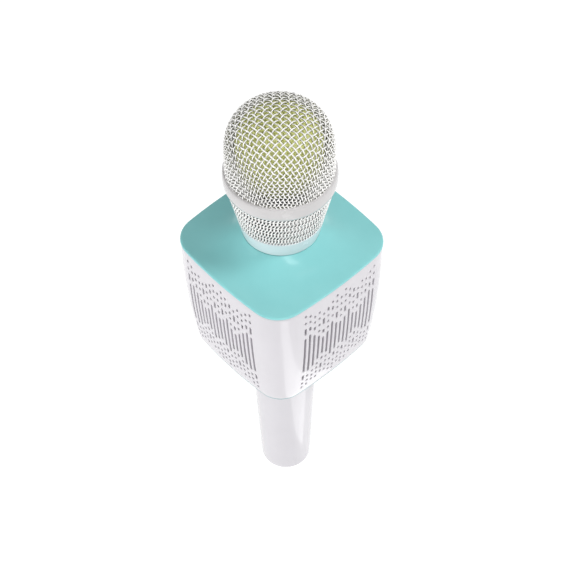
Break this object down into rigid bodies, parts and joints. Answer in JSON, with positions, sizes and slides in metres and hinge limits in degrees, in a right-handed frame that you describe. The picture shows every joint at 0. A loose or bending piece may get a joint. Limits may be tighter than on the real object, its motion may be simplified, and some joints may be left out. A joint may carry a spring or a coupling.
{
  "type": "toy karaoke microphone",
  "caption": "Wireless toy karaoke microphone: woven wire ball head over a foam liner, barrel-sided square speaker body with slotted faces, round tapered handle with sliders and buttons.",
  "frame": {"origin": "centre of the handle's flat end, which the microphone stands on", "axes": "+Z along the handle up to the ball head; the control panel faces -Y and the speaker faces look along +X, -X, +Y and -Y"},
  "size_m": [0.08, 0.08, 0.2707],
  "materials": {
    "white_shell": "satin white moulding",
    "teal_plate": "smooth aqua lacquered moulding",
    "mesh_wire": "woven wire, painted pearl white",
    "pearl_ring": "pearl white, satin",
    "lime_foam": "open-cell foam, lime yellow",
    "grey_cloth": "fine woven dust cloth, grey",
    "black_plastic": "moulded, fine grain",
    "steel": "plated",
    "magnet_iron": "sintered",
    "black_rubber": "soft matt",
    "green_board": "solder-masked circuit board",
    "cell_wrap": "shrink sleeve on a steel can",
    "white_key": "satin white key"
  },
  "bodies": {
    "chassis": {"body_shell": "white_shell", "dust_cloth": "grey_cloth", "top_plate": "teal_plate", "bottom_plate": "teal_plate", "speaker_box": "black_plastic", "chassis_screw_1": "steel", "chassis_screw_2": "steel", "chassis_screw_3": "steel", "chassis_screw_4": "steel", "front_driver_basket": "steel", "front_driver_magnet": "magnet_iron", "front_driver_surround": "black_rubber", "back_driver_basket": "steel", "back_driver_magnet": "magnet_iron", "back_driver_surround": "black_rubber", "right_radiator_surround": "black_rubber", "right_radiator_weight": "steel", "left_radiator_surround": "black_rubber", "left_radiator_weight": "steel", "amplifier_board": "green_board", "neck_collar": "steel", "capsule_holder": "black_plastic", "capsule_cushion": "black_rubber", "mic_capsule": "steel", "capsule_lead": "black_rubber", "handle_tube": "white_shell", "end_cap": "white_shell", "charging_socket": "steel", "line_socket": "black_plastic", "battery_cell": "cell_wrap", "battery_cradle": "black_plastic", "battery_spring_contact": "steel", "battery_end_contact": "steel", "control_panel": "teal_plate", "control_board": "green_board", "play_switch": "black_plastic", "previous_switch": "black_plastic", "next_switch": "black_plastic", "mode_switch": "black_plastic", "power_switch": "black_plastic", "mic_volume_track": "steel", "echo_track": "steel", "music_volume_track": "steel"},
    "head": {"dome_mesh": "mesh_wire", "head_band": "pearl_ring", "cone_mesh": "mesh_wire", "neck_ring": "pearl_ring", "foam_windscreen": "lime_foam"},
    "play_key": {"play_button": "white_key"},
    "previous_key": {"previous_button": "white_key"},
    "next_key": {"next_button": "white_key"},
    "mode_key": {"mode_button": "white_key"},
    "power_key": {"power_button": "white_key"},
    "mic_volume_slider": {"mic_volume_knob": "white_key"},
    "echo_slider": {"echo_knob": "white_key"},
    "music_volume_slider": {"music_volume_knob": "white_key"},
    "front_diaphragm": {"front_driver_cone": "black_plastic"},
    "back_diaphragm": {"back_driver_cone": "black_plastic"}
  },
  "joints": [
    {"name": "head_lift", "type": "slide", "parent": "chassis", "child": "head", "axis": [0, 0, 1], "range_m": [0, 0.06]},
    {"name": "play_press", "type": "slide", "parent": "chassis", "child": "play_key", "axis": [0, 0.9992, 0.0395], "range_m": [0, 0.0006], "stiffness_N_per_m": 700, "springref_m": -0.001},
    {"name": "previous_press", "type": "slide", "parent": "chassis", "child": "previous_key", "axis": [0, 0.9992, 0.0395], "range_m": [0, 0.0006], "stiffness_N_per_m": 700, "springref_m": -0.001},
    {"name": "next_press", "type": "slide", "parent": "chassis", "child": "next_key", "axis": [0, 0.9992, 0.0395], "range_m": [0, 0.0006], "stiffness_N_per_m": 700, "springref_m": -0.001},
    {"name": "mode_press", "type": "slide", "parent": "chassis", "child": "mode_key", "axis": [0, 0.9992, 0.0395], "range_m": [0, 0.0006], "stiffness_N_per_m": 700, "springref_m": -0.001},
    {"name": "power_press", "type": "slide", "parent": "chassis", "child": "power_key", "axis": [0, 0.9992, 0.0395], "range_m": [0, 0.0006], "stiffness_N_per_m": 700, "springref_m": -0.001},
    {"name": "mic_volume_slide", "type": "slide", "parent": "chassis", "child": "mic_volume_slider", "axis": [0, -0.0395, 0.9992], "range_m": [-0.008, 0.008]},
    {"name": "echo_slide", "type": "slide", "parent": "chassis", "child": "echo_slider", "axis": [0, -0.0395, 0.9992], "range_m": [-0.008, 0.008]},
    {"name": "music_volume_slide", "type": "slide", "parent": "chassis", "child": "music_volume_slider", "axis": [0, -0.0395, 0.9992], "range_m": [-0.008, 0.008]},
    {"name": "front_cone_stroke", "type": "slide", "parent": "chassis", "child": "front_diaphragm", "axis": [0, -1, 0], "range_m": [-0.0008, 0.0008], "stiffness_N_per_m": 1500},
    {"name": "back_cone_stroke", "type": "slide", "parent": "chassis", "child": "back_diaphragm", "axis": [0, 1, 0], "range_m": [-0.0008, 0.0008], "stiffness_N_per_m": 1500}
  ]
}
